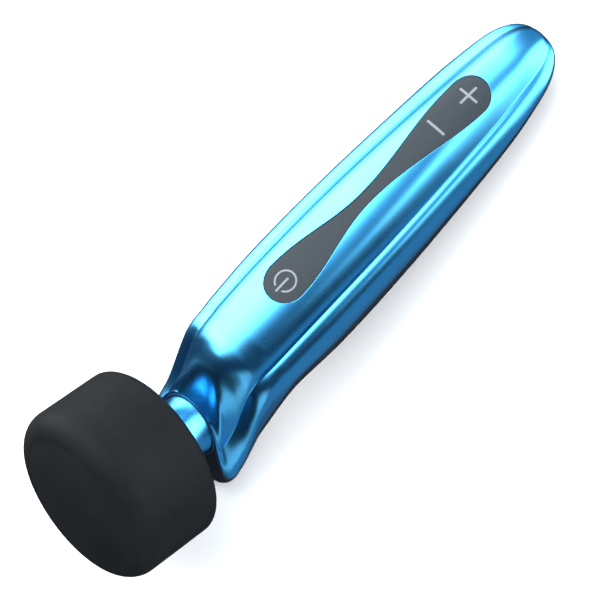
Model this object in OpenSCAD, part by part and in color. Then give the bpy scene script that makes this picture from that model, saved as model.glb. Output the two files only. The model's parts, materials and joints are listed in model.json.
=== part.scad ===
// Handheld wand massager: a cordless handle with a tilted, flexible head.
// Millimetres. +Z is up, the massager lies on its underside on the plane z = 0, the head
// points to +X and the object is symmetric about the plane y = 0.
// Every part is drawn in the handle frame, whose origin is on the power key, with +X towards
// the head and +Z out of the key panel. lay() then puts the part down on its underside.

/* [Head] */
// Radius of the massage head
head_r = 30; // [29.5:0.5:31]
// Length of the head, from its rear face to the edge of its crown
head_len = 32.5; // [32:0.5:36]
// Height of the crown on the head's front
crown = 3; // [2.5:0.5:4]
// Radius of the head's front edge
front_round = 7; // [6:0.5:8]
// Radius of the head's rear edge
rear_round = 3; // [2.5:0.5:4]
// Thickness of the silicone head cover
cover_t = 2.5; // [2.3:0.1:2.7]

/* [Neck] */
// Angle between the head's axis and the handle
neck_tilt = 31; // [30:0.5:32]
// Distance from the power key to the head's rear face, along the handle
head_x = 66.5; // [66:0.5:68]
// Depth of the middle of the head's rear face below the power key
head_drop = 20; // [19.5:0.5:20.5]
// Visible length of the neck
neck_len = 15; // [14.5:0.5:15.5]
// Outer radius of the handle's mouth
mouth_r = 12.2; // [12.1:0.1:12.4]
// Radius of the ball at the rear of the neck collar
ball_r = 10.8; // [10.6:0.1:10.8]

/* [Handle] */
// Half of the handle's width at its widest
half_w = 20; // [19.5:0.5:20.5]
// Wall of the handle's shells
wall = 2.2; // [2:0.1:2.4]
// Distance from the power key to the tail, along the handle
tail_x = 114; // [113.5:0.1:114.5]
// Tilt of the handle when it lies on its underside
lay_tilt = 8.5; // [8:0.5:9]

/* [Keys] */
// Distance from the power key to the minus key
minus_x = 67.3; // [66.5:0.1:68]
// Distance from the power key to the plus key
plus_x = 82; // [81.5:0.1:83]
// Radius of the moving zone over each key
key_r = 5; // [4.6:0.1:5.2]
// Half-width of the key panel at its ends
panel_end_r = 7; // [6.8:0.1:7.4]
// Half-width of the key panel's waist
panel_waist = 2; // [1.6:0.1:2.6]

/* [Power] */
// Radius of the battery cell
cell_r = 9.2; // [9:0.1:9.2]
// Length of the battery cell
cell_len = 65; // [60:1:65]
// Radius of the charging jack's bore
jack_bore_r = 1.3; // [1.2:0.05:1.4]
// Radius of the motor
motor_r = 12; // [11:0.5:12]

/* [Hidden] */

// ---- neck axis ----
axis_dir = [cos(neck_tilt), 0, sin(neck_tilt)];
head_at = [head_x, 0, -head_drop];
mouth_at = head_at - neck_len * axis_dir;

// ---- section planes of the handle ----
// Up to fan_x the planes stand across the handle. Past it they turn about a line above the
// shoulder, until the last one lies in the mouth. A place along the handle is u: millimetres
// from fan_x where u <= 0, and degrees of turn where u > 0.
fan_x = 20;
fan_z = mouth_at[2] + (mouth_at[0] - fan_x) / tan(neck_tilt);
mouth_h = fan_z - norm(mouth_at - [fan_x, 0, fan_z]);
function place(u, y, h) = u <= 0
    ? [fan_x + u, y, h]
    : [fan_x + (fan_z - h) * sin(u), y, fan_z - (fan_z - h) * cos(u)];

round_k = 0.55;
// Gap between the two shells at their parting line.
seam = 0.08;
// One row per station: place u, top, crease (half-width, height), slopes above and below
// the crease, widest point (half-width, height), bottom, fullness of the belly.
STATIONS = [
    [-131, -7.8, 8.2, -11.5, 40, 14, 12.0, -14.3, -21.2, 0.64],
    [-118, -6.5, 9.8, -11.2, 44, 4, 14.5, -15.3, -24.7, 0.64],
    [-104, -4.7, 11.3, -10.5, 48, -4, 16.6, -16.2, -28.3, 0.64],
    [ -80, -2.3, 12.7, -8.9, 58, -8, 18.2, -17.2, -32.0, 0.66],
    [ -50, -0.6, 13.8, -7.5, 66, -10, 19.5, -17.9, -35.2, 0.68],
    [ -20, 0.0, 14.0, -7.2, 72, -10, half_w, -18.0, -36.6, 0.68],
    [   0, -0.3, 13.7, -8.2, 74, -8, 19.2, -17.8, -35.4, 0.66],
    [   6, -0.8, 13.4, -9.0, 76, -4, 18.9, -20.5, -36.8, 0.66],
    [  11, -1.5, 13.2, -9.8, 77, 4, 18.7, -23.8, -40.8, 0.66],
    [  15, -2.0, 13.0, -11.4, 78, 14, 18.5, -27.5, -45.6, 0.66],
    [18.5, -3.0, 12.9, -14.8, 80, 26, 18.3, -32.0, -50.0, 0.66],
    [21.5, -4.4, 12.9, -21.5, 82, 36, 18.4, -39.5, -53.6, 0.68],
    [24.5, -6.8, 12.9, -31.0, 84, 44, 18.6, -47.5, -57.2, 0.70],
    [27.5, -10.6, 12.7, -37.5, 86, 50, 18.5, -51.4, -59.8, 0.72],
    [29.5, -17.0, 12.4, -38.0, 88, 60, 16.3, -49.2, -58.7, 0.70],
    [neck_tilt, mouth_h + mouth_r, 0.866 * mouth_r, mouth_h + mouth_r / 2, 60, 60,
     mouth_r, mouth_h, mouth_h - mouth_r, round_k]
];
last = len(STATIONS) - 1;
function slope(i) =
    let (a = STATIONS[max(0, i - 1)], b = STATIONS[min(last, i + 1)])
    (b - a) / (b[0] - a[0]);
function row_between(i, t) =
    let (a = STATIONS[i], b = STATIONS[i + 1], h = b[0] - a[0])
    (1 + 2 * t) * pow(1 - t, 2) * a + t * pow(1 - t, 2) * h * slope(i)
        + t * t * (3 - 2 * t) * b - t * t * (1 - t) * h * slope(i + 1);
function row_at(u) =
    let (i = max([for (n = [0 : last - 1]) STATIONS[n][0] <= u ? n : 0]))
    row_between(i, (u - STATIONS[i][0]) / (STATIONS[i + 1][0] - STATIONS[i][0]));

// Half of the outline of a row, from the top centre to the widest point or from there to
// the bottom centre, as points (half-width, height).
function bezier(p, t) =
    pow(1 - t, 3) * p[0] + 3 * pow(1 - t, 2) * t * p[1] + 3 * (1 - t) * t * t * p[2] + pow(t, 3) * p[3];
function arc_points(p, n) = [for (i = [0 : n - 1]) bezier(p, i / n)];
function dome(r) = let (d = 0.42 * norm([r[2], r[1] - r[3]]))
    [[0, r[1]], [round_k * r[2], r[1]], [r[2] - d * cos(r[4]), r[3] + d * sin(r[4])], [r[2], r[3]]];
function ridge(r) = let (d = 0.42 * norm([r[6] - r[2], r[3] - r[7]]))
    [[r[2], r[3]], [r[2] + d * cos(r[5]), r[3] - d * sin(r[5])],
     [r[6], r[7] + round_k * (r[3] - r[7])], [r[6], r[7]]];
function belly(r) =
    [[r[6], r[7]], [r[6], r[7] - r[9] * (r[7] - r[8])], [r[9] * r[6], r[8]], [0, r[8]]];
dome_n = 8;
ridge_n = 6;
belly_n = 9;
function upper_half(r) =
    concat(arc_points(dome(r), dome_n), arc_points(ridge(r), ridge_n), [[r[6], r[7]]]);
function lower_half(r) = concat(arc_points(belly(r), belly_n), [[0, r[8]]]);
function mirrored(half) =
    concat([for (i = [len(half) - 1 : -1 : 1]) [-half[i][0], half[i][1]]], half);
function upper_outline(r) = mirrored(upper_half(r));
function lower_outline(r) =
    let (half = lower_half(r), n = len(half))
    concat([for (i = [0 : n - 1]) [-half[i][0], half[i][1]]], [for (i = [n - 2 : -1 : 0]) half[i]]);

// Rounded tail: towards the tail the outline shrinks about the middle of its widest line.
cap_len = 16.5;
cap_power = 2.8;
function cap_u(a, tail) = -fan_x - tail + cap_len * (1 - pow(sin(a), 2 / cap_power));
function cap_scale(a) = pow(cos(a), 2 / cap_power);
cap_angles = [84, 74, 62, 49, 36, 24, 12];
straight_rows = 14;
fan_rows = 16;
function handle_u(tail) = let (start = -fan_x - tail + cap_len) concat(
    [for (a = cap_angles) [cap_u(a, tail), cap_scale(a)]],
    [for (i = [0 : straight_rows]) [start * (1 - i / straight_rows), 1]],
    [for (i = [1 : fan_rows]) [neck_tilt * i / fan_rows, 1]]);

// Moves each point of an outline inwards by t; its two ends move level, so that rims stay flat.
function inwards(p, t) = let (n = len(p) - 1) [for (i = [0 : n])
    let (a = p[max(0, i - 1)], b = p[min(n, i + 1)], d = (b - a) / norm(b - a))
    i == 0 ? p[0] + [abs(t), 0] : i == n ? p[n] - [abs(t), 0] : p[i] + t * [d[1], -d[0]]];
function skin(tail, upper, t) = [for (s = handle_u(tail))
    let (r = row_at(s[0]), o = upper ? upper_outline(r) : lower_outline(r), side = upper ? 1 : -1,
        drop = upper ? 0 : seam)
    [for (p = (t == 0 ? o : inwards(o, side * t)))
        place(s[0], p[0] * s[1], r[7] + (p[1] - r[7]) * s[1] - drop)]];
function tail_point(tail, upper) =
    place(-fan_x - tail, 0, row_at(-fan_x - tail)[7] - (upper ? 0 : seam));

// A shell between two skins that have the same grid of points, closed to a point at the tail.
module shell(outer, inner, outer_tip, inner_tip, upper) {
    n = len(outer);
    m = len(outer[0]);
    function o(i, j) = i * m + j;
    function q(i, j) = n * m + i * m + j;
    tip_o = 2 * n * m;
    tip_q = tip_o + 1;
    faces = concat(
        [for (i = [0 : n - 2], j = [0 : m - 2]) each
            [[o(i, j), o(i + 1, j), o(i + 1, j + 1)], [o(i, j), o(i + 1, j + 1), o(i, j + 1)],
             [q(i, j), q(i + 1, j + 1), q(i + 1, j)], [q(i, j), q(i, j + 1), q(i + 1, j + 1)]]],
        [for (i = [0 : n - 2]) each
            [[o(i, 0), q(i, 0), q(i + 1, 0)], [o(i, 0), q(i + 1, 0), o(i + 1, 0)],
             [o(i, m - 1), q(i + 1, m - 1), q(i, m - 1)],
             [o(i, m - 1), o(i + 1, m - 1), q(i + 1, m - 1)]]],
        [for (j = [0 : m - 2]) each
            [[o(n - 1, j), q(n - 1, j), q(n - 1, j + 1)], [o(n - 1, j), q(n - 1, j + 1), o(n - 1, j + 1)],
             [tip_o, o(0, j), o(0, j + 1)], [tip_q, q(0, j + 1), q(0, j)]]],
        [[tip_o, tip_q, q(0, 0)], [tip_o, q(0, 0), o(0, 0)],
         [tip_o, q(0, m - 1), tip_q], [tip_o, o(0, m - 1), q(0, m - 1)]]);
    turned = upper ? [for (f = faces) [f[0], f[2], f[1]]] : faces;
    polyhedron(
        points = concat([for (r = outer, p = r) p], [for (r = inner, p = r) p], [outer_tip, inner_tip]),
        faces = turned);
}

module handle_shell(upper) {
    shell(skin(tail_x, upper, 0), skin(tail_x - wall, upper, wall),
        tail_point(tail_x, upper), tail_point(tail_x - wall, upper), upper);
}

// ---- lying down ----
function laid(p) =
    [p[0] * cos(lay_tilt) - p[2] * sin(lay_tilt), p[1], p[0] * sin(lay_tilt) + p[2] * cos(lay_tilt)];
underside = [for (r = skin(tail_x, false, 0), p = r) laid(p)];
front_edge = laid(head_at)[0] + (head_len - front_round) * cos(neck_tilt + lay_tilt)
    + (head_r - front_round) * sin(neck_tilt + lay_tilt) + front_round;
middle_x = (front_edge + min([for (p = underside) p[0]])) / 2;
lift = -min([for (p = underside) p[2]]);
module lay() {
    translate([-middle_x, 0, lift]) rotate([0, -lay_tilt, 0]) children();
}
// Places children on the neck axis, with z = 0 on the head's rear face and +z forwards.
module on_neck() {
    lay() translate(head_at) rotate([0, 90 - neck_tilt, 0]) children();
}
module ring(r_out, r_in, z0, z1) {
    translate([0, 0, z0]) difference() {
        cylinder(r = r_out, h = z1 - z0, $fn = 64);
        translate([0, 0, -1]) cylinder(r = r_in, h = z1 - z0 + 2, $fn = 64);
    }
}
module rod(r, z0, z1) {
    translate([0, 0, z0]) cylinder(r = r, h = z1 - z0, $fn = 48);
}
// A wire of radius r along one Bezier curve with the four control points p.
module wire(p, r) {
    rings = 12;
    sides = 8;
    function ring_points(t) = let (
        d = bezier(p, min(1, t + 0.01)) - bezier(p, max(0, t - 0.01)),
        a = cross(d, [0, 1, 0]) / norm(cross(d, [0, 1, 0])),
        b = cross(a, d) / norm(d))
        [for (j = [0 : sides - 1]) let (turn = 360 * j / sides)
            bezier(p, t) + r * (cos(turn) * a + sin(turn) * b)];
    function at(i, j) = i * sides + j % sides;
    polyhedron(
        points = [for (i = [0 : rings]) each ring_points(i / rings)],
        faces = concat(
            [for (i = [0 : rings - 1], j = [0 : sides - 1]) each
                [[at(i, j), at(i + 1, j + 1), at(i + 1, j)], [at(i, j), at(i, j + 1), at(i + 1, j + 1)]]],
            [for (j = [1 : sides - 2]) each
                [[at(0, 0), at(0, j + 1), at(0, j)],
                 [at(rings, 0), at(rings, j), at(rings, j + 1)]]]));
}

// ---- key panel ----
fit_gap = 0.06;
panel_t = 1.3;
cap_t = 0.8;
waist_x = -36;
function panel_half_w(x) =
    let (left = -plus_x, t = x < waist_x ? (waist_x - x) / (waist_x - left) : (x - waist_x) / -waist_x)
    panel_waist + (panel_end_r - panel_waist) * (1 - cos(180 * min(1, t))) / 2;
function panel_outline(grow) =
    let (r = panel_end_r + grow, n = 14,
        front = [for (a = [90 : -10 : 0]) [r * cos(a), r * sin(a)]],
        back = [for (a = [180 : -10 : 90]) [-plus_x + r * cos(a), r * sin(a)]],
        side = [for (i = [1 : n - 1]) let (x = -plus_x + i * plus_x / n) [x, panel_half_w(x) + grow]],
        top = concat(back, side, front))
    concat(top, [for (i = [len(top) - 2 : -1 : 1]) [top[i][0], -top[i][1]]]);
// A layer of the dome over the keys, from depth t0 down to depth t1.
module dome_layer(x0, x1, rows, t0, t1) {
    n = rows;
    function line(x, t) = let (r = row_at(x - fan_x), h = arc_points(dome(r), dome_n),
        o = mirrored(concat(h, [[r[2], r[3]]])))
        [for (p = inwards(o, t)) [x, p[0], p[1]]];
    outer = [for (i = [0 : n]) line(x0 + (x1 - x0) * i / n, t0)];
    inner = [for (i = [0 : n]) line(x0 + (x1 - x0) * i / n, t1)];
    m = len(outer[0]);
    function o(i, j) = i * m + j;
    function q(i, j) = (n + 1) * m + i * m + j;
    faces = concat(
        [for (i = [0 : n - 1], j = [0 : m - 2]) each
            [[o(i, j), o(i + 1, j), o(i + 1, j + 1)], [o(i, j), o(i + 1, j + 1), o(i, j + 1)],
             [q(i, j), q(i + 1, j + 1), q(i + 1, j)], [q(i, j), q(i, j + 1), q(i + 1, j + 1)]]],
        [for (i = [0 : n - 1]) each
            [[o(i, 0), q(i, 0), q(i + 1, 0)], [o(i, 0), q(i + 1, 0), o(i + 1, 0)],
             [o(i, m - 1), q(i + 1, m - 1), q(i, m - 1)],
             [o(i, m - 1), o(i + 1, m - 1), q(i + 1, m - 1)]]],
        [for (j = [0 : m - 2]) each
            [[o(n, j), q(n, j), q(n, j + 1)], [o(n, j), q(n, j + 1), o(n, j + 1)],
             [o(0, j), q(0, j + 1), q(0, j)], [o(0, j), o(0, j + 1), q(0, j + 1)]]]);
    polyhedron(
        points = concat([for (r = outer, p = r) p], [for (r = inner, p = r) p]),
        faces = [for (f = faces) [f[0], f[2], f[1]]]);
}
module panel_prism(grow) {
    translate([0, 0, -20]) linear_extrude(30) polygon(panel_outline(grow));
}
key_x = [0, -minus_x, -plus_x];

// ---- levels inside the handle ----
board_top = -9.8;
board_t = 1.6;
board_x0 = -86.5;
board_x1 = 26;
board_taper_x = -60;
board_half_w = 7.5;
board_end_w = 5.5;
switch_h = 2.4;
plunger_r = 1.6;
plunger_top = -6.9;
plunger_bottom = -8.3;
stem_r = 2;
cell_z = -21.1;
cradle_foot = -31.1;
cell_x = 19 - cell_len;
joint_z = -17;
// Shell screws: place along the handle, half of their spacing, top of the boss, foot of the column.
screw_rows = [[24, 11.8, -9.7, -31], [-56, 10.5, -9.6, -29.8], [-92, 6.2, -10.9, -26.8]];
board_screw_x = [22.5, -52];
column_r = 3.2;
boss_r = 2.6;
shank_r = 1.1;
head_seat = 6;
module both_sides(y) {
    translate([0, y, 0]) children();
    translate([0, -y, 0]) children();
}

// ---- neck and pivot ----
pivot_s = -neck_len - 2;
socket_gap = 0.35;
seat_r = mouth_r - 0.55;
socket_back = pivot_s - 5;

module upper_shell() color("deepskyblue") lay() difference() {
    union() {
        handle_shell(true);
        for (s = screw_rows) translate([s[0], 0, 0]) both_sides(s[1]) rod(boss_r, joint_z, s[2]);
        for (x = board_screw_x) translate([x, 0, 0]) rod(2.5, board_top + 0.05, -2.2);
    }
    intersection() {
        panel_prism(fit_gap);
        dome_layer(-plus_x - 12, 12, 15, -1, panel_t + fit_gap);
    }
    for (x = key_x) translate([x, 0, 0]) rod(stem_r + 0.2, -12, 5);
    for (s = screw_rows) translate([s[0], 0, 0]) both_sides(s[1])
        rod(shank_r + 0.05, joint_z - 1, s[2] - 2);
    for (x = board_screw_x) translate([x, 0, 0]) rod(0.95, board_top - 1, -4);
    translate(head_at) rotate([0, 90 - neck_tilt, 0]) rod(seat_r, socket_back - 3.2, 0);
}
module lower_shell() color("dimgray") lay() difference() {
    union() {
        handle_shell(false);
        for (s = screw_rows) translate([s[0], 0, 0]) both_sides(s[1]) rod(column_r, s[3], joint_z - 0.05);
        for (x = [-36, 6]) translate([x, -8, -34.4]) cube([1.6, 16, 34.4 + cradle_foot - 0.05]);
    }
    for (s = screw_rows) translate([s[0], 0, 0]) both_sides(s[1]) {
        rod(2.5, s[3] - 12, s[3] + head_seat);
        rod(shank_r + 0.15, s[3], joint_z + 1);
    }
    translate([0, 0, jack_z]) rotate([0, 90, 0]) rod(nose_r + 0.05, -tail_x - 2, -100);
    translate(head_at) rotate([0, 90 - neck_tilt, 0]) rod(seat_r, socket_back - 3.2, 0);
}
module control_panel() color("slategray") lay() difference() {
    intersection() {
        panel_prism(0);
        dome_layer(-plus_x - 10, 10, 15, 0, panel_t);
    }
    for (x = key_x) translate([x, 0, 0]) rod(key_r + fit_gap, -20, 5);
}
module key(x) color("slategray") lay() {
    intersection() {
        translate([x, 0, 0]) rod(key_r, -15, 5);
        dome_layer(x - 6, x + 6, 6, 0, cap_t);
    }
    translate([x, 0, 0]) rod(stem_r, plunger_top, row_at(x - fan_x)[1] - cap_t + 0.2);
}
module plunger(x) color("ivory") lay() translate([x, 0, 0]) rod(plunger_r, plunger_bottom, plunger_top);
module power_key() key(0);
module power_plunger() plunger(0);
module minus_key() key(-minus_x);
module minus_plunger() plunger(-minus_x);
module plus_key() key(-plus_x);
module plus_plunger() plunger(-plus_x);

// ---- inside the handle ----
module tact_switches() color("black") lay() for (x = key_x) translate([x, 0, board_top]) difference() {
    translate([-3, -3, 0]) cube([6, 6, switch_h]);
    rod(plunger_r + 0.05, switch_h - 1.4, switch_h + 1);
}
module main_board() color("darkgreen") lay() difference() {
    translate([0, 0, board_top - board_t]) linear_extrude(board_t) polygon([
        [board_x0, -board_end_w], [board_taper_x, -board_half_w], [board_x1, -board_half_w],
        [board_x1, board_half_w], [board_taper_x, board_half_w], [board_x0, board_end_w]]);
    for (x = board_screw_x) translate([x, 0, 0]) rod(shank_r + 0.1, board_top - board_t - 1, board_top + 1);
}
module board_chips() color("black") lay() translate([0, 0, board_top]) {
    translate([-36, -2.5, 0]) cube([5, 5, 1.2]);
    translate([-24, -2, 0]) cube([4, 4, 1]);
    translate([-16, -4, 0]) cube([3, 6, 1.5]);
    translate([8, -3.5, 0]) cube([6, 7, 3]);
}
module board_screws() color("silver") lay() for (x = board_screw_x) translate([x, 0, 0]) {
    rod(1.9, board_top - board_t - 1.1, board_top - board_t);
    rod(0.9, board_top - board_t, -4.6);
}
module battery_cell() color("royalblue") lay()
    translate([cell_x, 0, cell_z]) rotate([0, 90, 0]) rod(cell_r, 0, cell_len);
module battery_cradle() color("dimgray") lay() translate([cell_x, 0, cell_z]) difference() {
    rotate([0, 90, 0]) rod(cell_r + 1.4, -2, cell_len + 2);
    rotate([0, 90, 0]) rod(cell_r + 0.1, -0.4, cell_len + 0.4);
    translate([-5, -15, -2]) cube([cell_len + 10, 30, 20]);
    translate([-5, -15, cradle_foot - cell_z - 10]) cube([cell_len + 10, 30, 10]);
}
module battery_tabs() color("silver") lay() for (x = [cell_x - 0.3, 19.05])
    translate([x, -3, cell_z - 1.5]) cube([0.25, 6, 5]);
module battery_leads() color("red") lay() {
    for (x = [cell_x - 0.95, 19.95])
        translate([x, 0, 0]) rod(0.6, cell_z, board_top - board_t - 0.02);
}
module motor_leads() color("black") lay() for (y = [-2.2, 2.2]) {
    start = head_at + (pivot_s - 0.8) * axis_dir + [0, y, 0];
    bend = head_at + (pivot_s - 16) * axis_dir + [0, y, 0];
    wire([start, bend, [25, y, -28], [25, y, board_top - board_t - 0.02]], 0.7);
}

// ---- charging jack ----
jack_z = -17.2;
jack_r = 2.7;
nose_r = 1.9;
nose_x = -112;
jack_x = -103.9;
module charge_jack() color("black") lay() translate([0, 0, jack_z]) rotate([0, 90, 0]) difference() {
    union() {
        rod(nose_r, nose_x, jack_x);
        rod(jack_r, jack_x, -94);
    }
    rod(jack_bore_r, nose_x - 1, nose_x + 12);
}
module jack_seal() color("black") lay() translate([0, 0, jack_z]) rotate([0, 90, 0])
    ring(jack_r, nose_r + 0.03, jack_x - 1.5, jack_x);
module charge_leads() color("red") lay() for (y = [-1.5, 1.5])
    wire([[-93.98, y, jack_z], [-89, y, jack_z], [-85, y, -17], [-85, y, board_top - board_t - 0.02]], 0.6);
// A shell screw from its cross-slotted head, whose top face is at z, to its tip.
module shell_screw(z, tip) {
    difference() {
        rod(2.3, z - 1.8, z);
        for (a = [0, 90]) rotate([0, 0, a]) translate([-1.5, -0.3, z - 2]) cube([3, 0.6, 1]);
    }
    rod(shank_r, z, tip);
}
module shell_screws() color("silver") lay()
    for (s = screw_rows) translate([s[0], 0, 0]) both_sides(s[1]) shell_screw(s[3] + head_seat, s[2] - 2.6);

// ---- neck ----
module neck_socket() color("lightskyblue") on_neck() difference() {
    rod(seat_r - 0.03, socket_back, -neck_len);
    translate([0, 0, pivot_s]) sphere(r = ball_r + socket_gap, $fn = 96);
    rod(9.6, socket_back - 1, pivot_s);
}
module flex_neck() color("black") on_neck() {
    ring(7.4, 4.5, socket_back - 0.1, -0.2);
    ring(seat_r - 0.1, 4.5, socket_back - 2.8, socket_back - 0.1);
}
collar_front = 14.4;
waist_s = -9.5;
waist_r = 9.9;
ball_half = 2.5;
// The collar's outside as (radius, place on the neck axis), from the ball at t = 0 to the head.
function waist(t) = let (
    s = (pivot_s + ball_half) * (1 - t) - 0.2 * t,
    rear_r = sqrt(pow(ball_r, 2) - pow(ball_half, 2)),
    u = max(0, (s - waist_s) / -waist_s),
    v = max(0, (waist_s - s) / (waist_s - pivot_s - ball_half)))
    [waist_r + (rear_r - waist_r) * v * v + (collar_front - waist_r) * pow(u, 3), s];
module neck_collar() color("deepskyblue") on_neck() difference() {
    union() {
        intersection() {
            translate([0, 0, pivot_s]) sphere(r = ball_r, $fn = 96);
            rod(ball_r, pivot_s - ball_half, pivot_s + ball_half);
        }
        rotate_extrude($fn = 96) polygon(concat([[0, pivot_s]],
            [for (i = [0 : 12]) waist(i / 12)], [[0, -0.2]]));
    }
    rod(8.1, pivot_s - 10, 5);
    for (a = [60 : 120 : 300]) rotate([0, 0, a]) translate([11.2, 0, 0]) rod(0.8, -3, 1);
}

// ---- head ----
// Profile of the head, t inside its surface, from the rear to the middle of the crown.
function head_front(t) = concat(
    [for (a = [0 : 10 : 90]) let (r = front_round - t)
        [head_r - front_round + r * cos(a), head_len - front_round + r * sin(a)]],
    [for (i = [1 : 8]) let (f = 1 - i / 8)
        [(head_r - front_round) * f, head_len - t + crown * (1 - f * f)]]);
lip_r = 20;
cup_t = 2;
base_s = 4.6;
module head_cover() color("darkslategray") on_neck() difference() {
    rotate_extrude($fn = 128) polygon(concat([[lip_r, 0]],
        [for (a = [0 : 15 : 90])
            [head_r - rear_round + rear_round * sin(a), rear_round - rear_round * cos(a)]],
        head_front(0), [[0, head_len + crown - cover_t]],
        [for (i = [len(head_front(cover_t)) - 2 : -1 : 0]) head_front(cover_t)[i]],
        [[head_r - cover_t, 2], [lip_r, 2]]));
}
module head_cup() color("dimgray") on_neck() {
    rotate_extrude($fn = 128) polygon(concat([[head_r - cover_t - 0.1, 2.1]],
        head_front(cover_t + 0.1), [[0, head_len + crown - cover_t - cup_t]],
        [for (i = [len(head_front(cover_t)) - 2 : -1 : 0]) head_front(cover_t + cup_t)[i]],
        [[head_r - cover_t - cup_t, 2.1]]));
    ring(motor_r + 4, motor_r + 2.1, 9, head_len - cover_t + 0.5);
    for (a = [0 : 120 : 240]) rotate([0, 0, a]) translate([22, 0, 0])
        ring(2.6, 1.15, base_s + 0.05, head_len - cover_t - 0.7);
}
module head_base() color("dimgray") on_neck() difference() {
    union() {
        rod(lip_r - 0.1, 0, 2.1);
        rod(head_r - cover_t - cup_t - 0.1, 2.1, base_s);
    }
    rod(8.1, -1, base_s + 1);
    for (a = [0 : 120 : 240]) rotate([0, 0, a]) translate([22, 0, 0]) {
        rod(1.2, 0, base_s + 1);
        rod(2.3, 0, 3.1);
    }
    for (a = [60 : 120 : 300]) rotate([0, 0, a]) translate([11.2, 0, 0]) rod(1.2, -1, base_s + 1);
}
module head_screws() color("silver") on_neck()
    for (a = [0 : 120 : 240]) rotate([0, 0, a]) translate([22, 0, 0]) {
        rod(2.1, 2.15, 3.1);
        rod(1.1, 3.1, 14);
    }
module collar_screws() color("silver") on_neck()
    for (a = [60 : 120 : 300]) rotate([0, 0, a]) translate([11.2, 0, 0]) {
        rod(2, base_s, base_s + 1.2);
        rod(0.75, -2.6, base_s);
    }

// ---- motor ----
can_back = 8;
can_front = 23.5;
shaft_r = 1;
running_gap = 0.04;
module motor_can() color("silver") on_neck() {
    ring(motor_r, motor_r - 0.8, can_back, can_front);
    ring(motor_r - 0.4, 2.5, can_front - 0.8, can_front);
}
module motor_end_cap() color("white") on_neck() difference() {
    union() {
        rod(motor_r, can_back - 1.8, can_back);
        rod(motor_r - 0.85, can_back, can_back + 1);
    }
    rod(2.5, can_back - 3, can_back + 2);
    for (y = [-5.5, 5.5]) translate([-1, y - 0.3, can_back - 3]) cube([2, 0.6, 6]);
}
module motor_magnets() color("gray") on_neck() difference() {
    ring(motor_r - 0.85, motor_r - 2.4, can_back + 2, can_front - 2);
    translate([-20, -2, 0]) cube([40, 4, 40]);
}
module motor_bushings() color("goldenrod") on_neck() {
    ring(2.48, shaft_r + running_gap, can_back - 1.8, can_back + 0.6);
    ring(2.48, shaft_r + running_gap, can_front - 1.4, can_front + 0.4);
}
module motor_brushes() color("peru") on_neck() for (y = [-3.4, 2.8])
    translate([-0.6, y, can_back + 1.05]) cube([1.2, 0.6, 1.2]);
module motor_terminals() color("silver") on_neck() for (y = [-5.5, 5.5])
    translate([-0.9, y - 0.25, can_back - 3.2]) cube([1.8, 0.5, 3.2]);
module motor_mount() color("black") on_neck() ring(motor_r + 2.05, motor_r + 0.05, 9.5, can_front - 1);
module head_leads() color("red") on_neck() for (side = [-1, 1]) {
    near = side * 2.2;
    far = side * 4.5;
    wire([[0, near, pivot_s - 0.1], [0, near, -2], [0, far, 1.5], [0, far, can_back - 3]], 0.7);
}
module rotor_shaft() color("silver") on_neck() rod(shaft_r, can_back - 1.6, 29.4);
module armature() color("gray") on_neck() difference() {
    ring(motor_r - 3, shaft_r, can_back + 3.4, can_front - 3);
    for (a = [0 : 120 : 240]) rotate([0, 0, a]) translate([3.5, -0.8, 0]) cube([20, 1.6, 40]);
}
module windings() color("peru") on_neck() {
    ring(motor_r - 4.5, 2.8, can_back + 2.4, can_back + 3.4);
    ring(motor_r - 4.5, shaft_r + 0.6, can_front - 3, can_front - 1.9);
}
module commutator() color("goldenrod") on_neck() ring(2.6, shaft_r, can_back + 1.1, can_back + 3.3);
module eccentric_weight() color("dimgray") on_neck() difference() {
    rod(10.5, 24.3, 29);
    rod(shaft_r, 20, 35);
    translate([-22.8, -20, 20]) cube([20, 40, 20]);
}

upper_shell();
lower_shell();
control_panel();
neck_socket();
battery_cell();
battery_cradle();
battery_tabs();
battery_leads();
main_board();
board_chips();
board_screws();
tact_switches();
motor_leads();
charge_jack();
jack_seal();
charge_leads();
shell_screws();
flex_neck();
neck_collar();
head_base();
collar_screws();
head_screws();
head_cup();
head_cover();
motor_can();
motor_end_cap();
motor_magnets();
motor_bushings();
motor_brushes();
motor_terminals();
motor_mount();
head_leads();
rotor_shaft();
armature();
windings();
commutator();
eccentric_weight();
power_key();
power_plunger();
minus_key();
minus_plunger();
plus_key();
plus_plunger();
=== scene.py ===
"""Looks of the handheld wand massager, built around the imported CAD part.

The handle's curves are the same formulas as in part.scad, in millimetres, in the handle frame:
origin on the power key, +X towards the head, +Z out of the key panel. row_frame() lays them down.
"""
import json
import math

import bmesh
import bpy
import numpy as np
from mathutils import Matrix, Vector
from mathutils.bvhtree import BVHTree
from mathutils.interpolate import poly_3d_calc


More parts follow.
